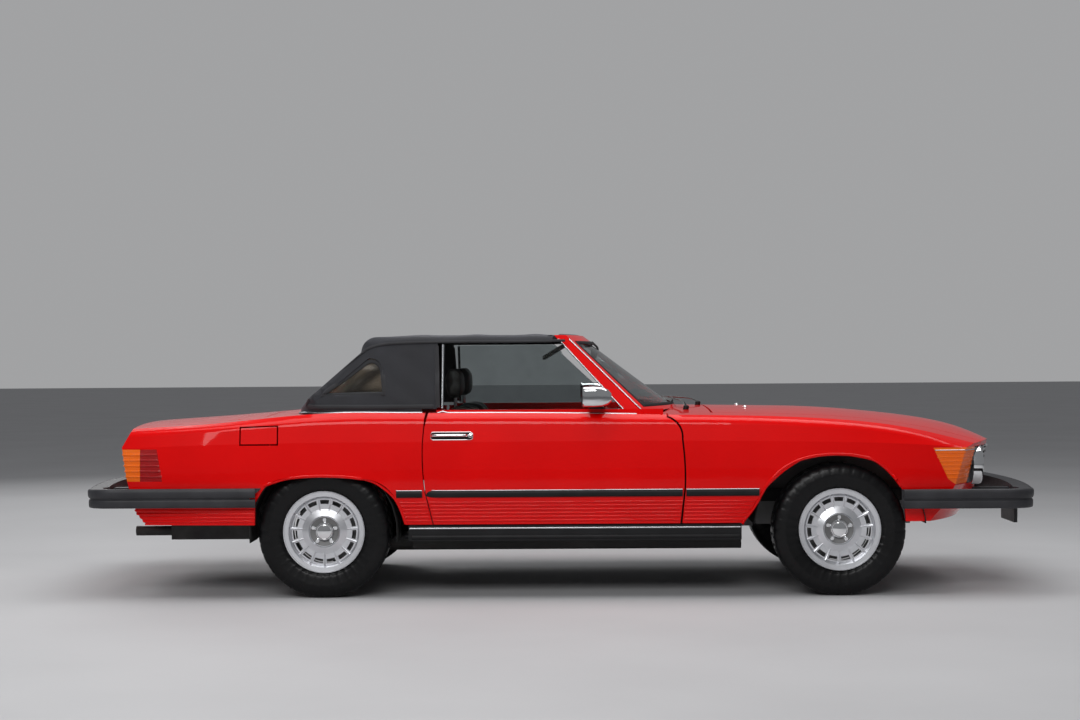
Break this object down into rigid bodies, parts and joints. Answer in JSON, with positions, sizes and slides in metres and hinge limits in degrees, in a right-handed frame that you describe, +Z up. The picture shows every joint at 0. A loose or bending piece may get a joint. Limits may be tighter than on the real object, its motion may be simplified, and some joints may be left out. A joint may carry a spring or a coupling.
{
  "type": "convertible car",
  "caption": "Open two-seat car with a raised black fabric roof, opening doors, hood, boot lid and filler flap, steered front wheels and wrap-round impact bumpers.",
  "frame": {"origin": "on the floor, under the middle of the car's overall length and width", "axes": "+X to the nose, +Y to the car's left, +Z up"},
  "size_m": [4.6298, 1.92, 1.2629],
  "materials": {
    "red_paint": "gloss clear-coated solid red",
    "black_paint": "satin black underbody paint",
    "dark_rubber": "matt dark grey moulded rubber",
    "roof_fabric": "woven black roof fabric",
    "roof_vinyl": "clear flexible plastic, slightly browned",
    "clear_glass": "clear toughened glass with a faint green tint",
    "amber_lens": "amber ribbed lens",
    "red_lens": "red ribbed lens",
    "lamp_glass": "clear fluted lamp glass",
    "bright_metal": "bright plated trim",
    "alloy": "silver-painted cast alloy",
    "tyre_rubber": "matt black tyre rubber",
    "seat_leather": "dark leather-like upholstery",
    "dash_plastic": "soft-grained black",
    "cast_metal": "bare and painted castings",
    "pipe_steel": "dull steel"
  },
  "bodies": {
    "car_body": {"floor_pan": "black_paint", "sills": "black_paint", "front_fender_left": "red_paint", "front_fender_right": "red_paint", "rear_quarter_left": "red_paint", "rear_quarter_right": "red_paint", "cowl": "red_paint", "rear_deck": "red_paint", "front_valance": "red_paint", "rear_panel": "red_paint", "windscreen_frame": "red_paint", "windscreen_glass": "clear_glass", "front_bumper": "dark_rubber", "rear_bumper": "dark_rubber", "grille": "bright_metal", "headlamps": "lamp_glass", "front_signals": "amber_lens", "tail_lamps": "red_lens", "soft_top": "roof_fabric", "soft_top_windows": "roof_vinyl", "seats": "seat_leather", "dashboard": "dash_plastic", "steering_wheel": "dash_plastic", "engine": "cast_metal", "driveline": "cast_metal", "exhaust": "pipe_steel", "front_axle": "black_paint", "rear_axle": "black_paint", "body_trim": "dark_rubber"},
    "door_left": {"door_left": "red_paint", "door_glass_left": "clear_glass", "door_trim_left": "bright_metal"},
    "door_right": {"door_right": "red_paint", "door_glass_right": "clear_glass", "door_trim_right": "bright_metal"},
    "hood": {"hood": "red_paint"},
    "boot_lid": {"boot_lid": "red_paint"},
    "filler_flap": {"filler_flap": "red_paint"},
    "knuckle_left": {"knuckle_left": "cast_metal"},
    "knuckle_right": {"knuckle_right": "cast_metal"},
    "wheel_front_left": {"tyre_front_left": "tyre_rubber", "rim_front_left": "alloy"},
    "wheel_front_right": {"tyre_front_right": "tyre_rubber", "rim_front_right": "alloy"},
    "wheel_rear_left": {"tyre_rear_left": "tyre_rubber", "rim_rear_left": "alloy"},
    "wheel_rear_right": {"tyre_rear_right": "tyre_rubber", "rim_rear_right": "alloy"}
  },
  "joints": [
    {"name": "door_left_hinge", "type": "hinge", "parent": "car_body", "child": "door_left", "pos_m": [0.496, 0.864, 0.6], "axis": [0, 0, -1], "range_deg": [0, 65]},
    {"name": "door_right_hinge", "type": "hinge", "parent": "car_body", "child": "door_right", "pos_m": [0.496, -0.864, 0.6], "axis": [0, 0, 1], "range_deg": [0, 65]},
    {"name": "hood_hinge", "type": "hinge", "parent": "car_body", "child": "hood", "pos_m": [0.86, 0, 0.853], "axis": [0, -1, 0], "range_deg": [0, 55]},
    {"name": "boot_lid_hinge", "type": "hinge", "parent": "car_body", "child": "boot_lid", "pos_m": [-1.54, 0, 0.839], "axis": [0, 1, 0], "range_deg": [0, 65]},
    {"name": "filler_flap_hinge", "type": "hinge", "parent": "car_body", "child": "filler_flap", "pos_m": [-1.374, -0.858, 0.744], "axis": [0, 0.1713, 0.9852], "range_deg": [0, 90]},
    {"name": "steering_right", "type": "hinge", "parent": "car_body", "child": "knuckle_right", "pos_m": [1.33, -0.64, 0.315], "axis": [0, 0, 1], "range_deg": [-33, 33]},
    {"name": "steering_left", "type": "hinge", "parent": "car_body", "child": "knuckle_left", "pos_m": [1.33, 0.64, 0.315], "axis": [0, 0, 1], "range_deg": [-33, 33]},
    {"name": "wheel_front_left_spin", "type": "hinge", "parent": "knuckle_left", "child": "wheel_front_left", "pos_m": [1.33, 0.726, 0.315], "axis": [0, 1, 0], "continuous": true},
    {"name": "wheel_front_right_spin", "type": "hinge", "parent": "knuckle_right", "child": "wheel_front_right", "pos_m": [1.33, -0.726, 0.315], "axis": [0, 1, 0], "continuous": true},
    {"name": "wheel_rear_left_spin", "type": "hinge", "parent": "car_body", "child": "wheel_rear_left", "pos_m": [-1.126, 0.72, 0.315], "axis": [0, 1, 0], "continuous": true},
    {"name": "wheel_rear_right_spin", "type": "hinge", "parent": "car_body", "child": "wheel_rear_right", "pos_m": [-1.126, -0.72, 0.315], "axis": [0, 1, 0], "continuous": true}
  ],
  "couplings": [
    {"joint": "steering_left", "follows": "steering_right", "ratio": 1}
  ]
}
